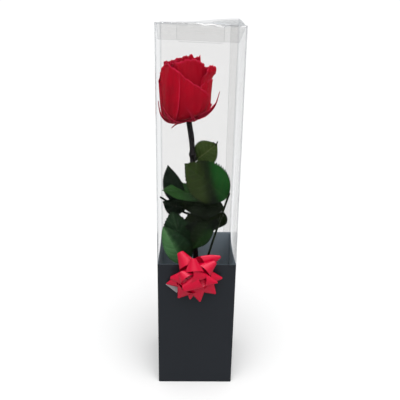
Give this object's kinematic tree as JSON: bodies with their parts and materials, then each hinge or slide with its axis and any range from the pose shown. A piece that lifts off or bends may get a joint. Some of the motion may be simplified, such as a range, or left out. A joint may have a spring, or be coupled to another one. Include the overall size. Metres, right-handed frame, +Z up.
{
  "type": "preserved rose in a clear gift box",
  "caption": "Long-stemmed preserved red rose with leaves in a tall clear folded plastic gift box, with a black printed base, a tuck-in lid and a red ribbon star bow.",
  "frame": {"origin": "middle of the underside of the box, on the surface that it stands on", "axes": "+Z up, along the box and the stem; -Y towards the front wall with the bow; +X to the right seen from the front"},
  "size_m": [0.085, 0.1086, 0.4005],
  "materials": {
    "printed_black": "smooth gloss, opaque black print on clear sheet",
    "clear_plastic": "clear gloss plastic sheet",
    "clear_film": "clear gloss adhesive film",
    "foam": "matte fine-celled floral foam",
    "stem": "dark satin woody stem",
    "petal": "soft velvety matte",
    "sepal": "dyed dark red, matte",
    "leaf_olive": "satin, waxed",
    "leaf_green": "satin, waxed",
    "leaf_dark": "satin, waxed",
    "leaf_light": "satin, waxed",
    "pad": "white adhesive foam",
    "ribbon": "satin plastic ribbon"
  },
  "bodies": {
    "box": {"box_base": "printed_black", "clear_sleeve": "clear_plastic", "stem_holder": "foam", "stem": "stem", "bloom": "petal", "calyx": "sepal", "leaf_top": "leaf_olive", "leaf_right": "leaf_green", "leaf_left": "leaf_dark", "leaf_low": "leaf_light", "bow_pad": "pad", "bow": "ribbon"},
    "lid": {"lid": "clear_plastic", "seal_strip": "clear_film"}
  },
  "joints": [
    {"name": "lid_hinge", "type": "hinge", "parent": "box", "child": "lid", "pos_m": [0, 0.0425, 0.4], "axis": [-1, 0, 0], "range_deg": [0, 120]}
  ]
}
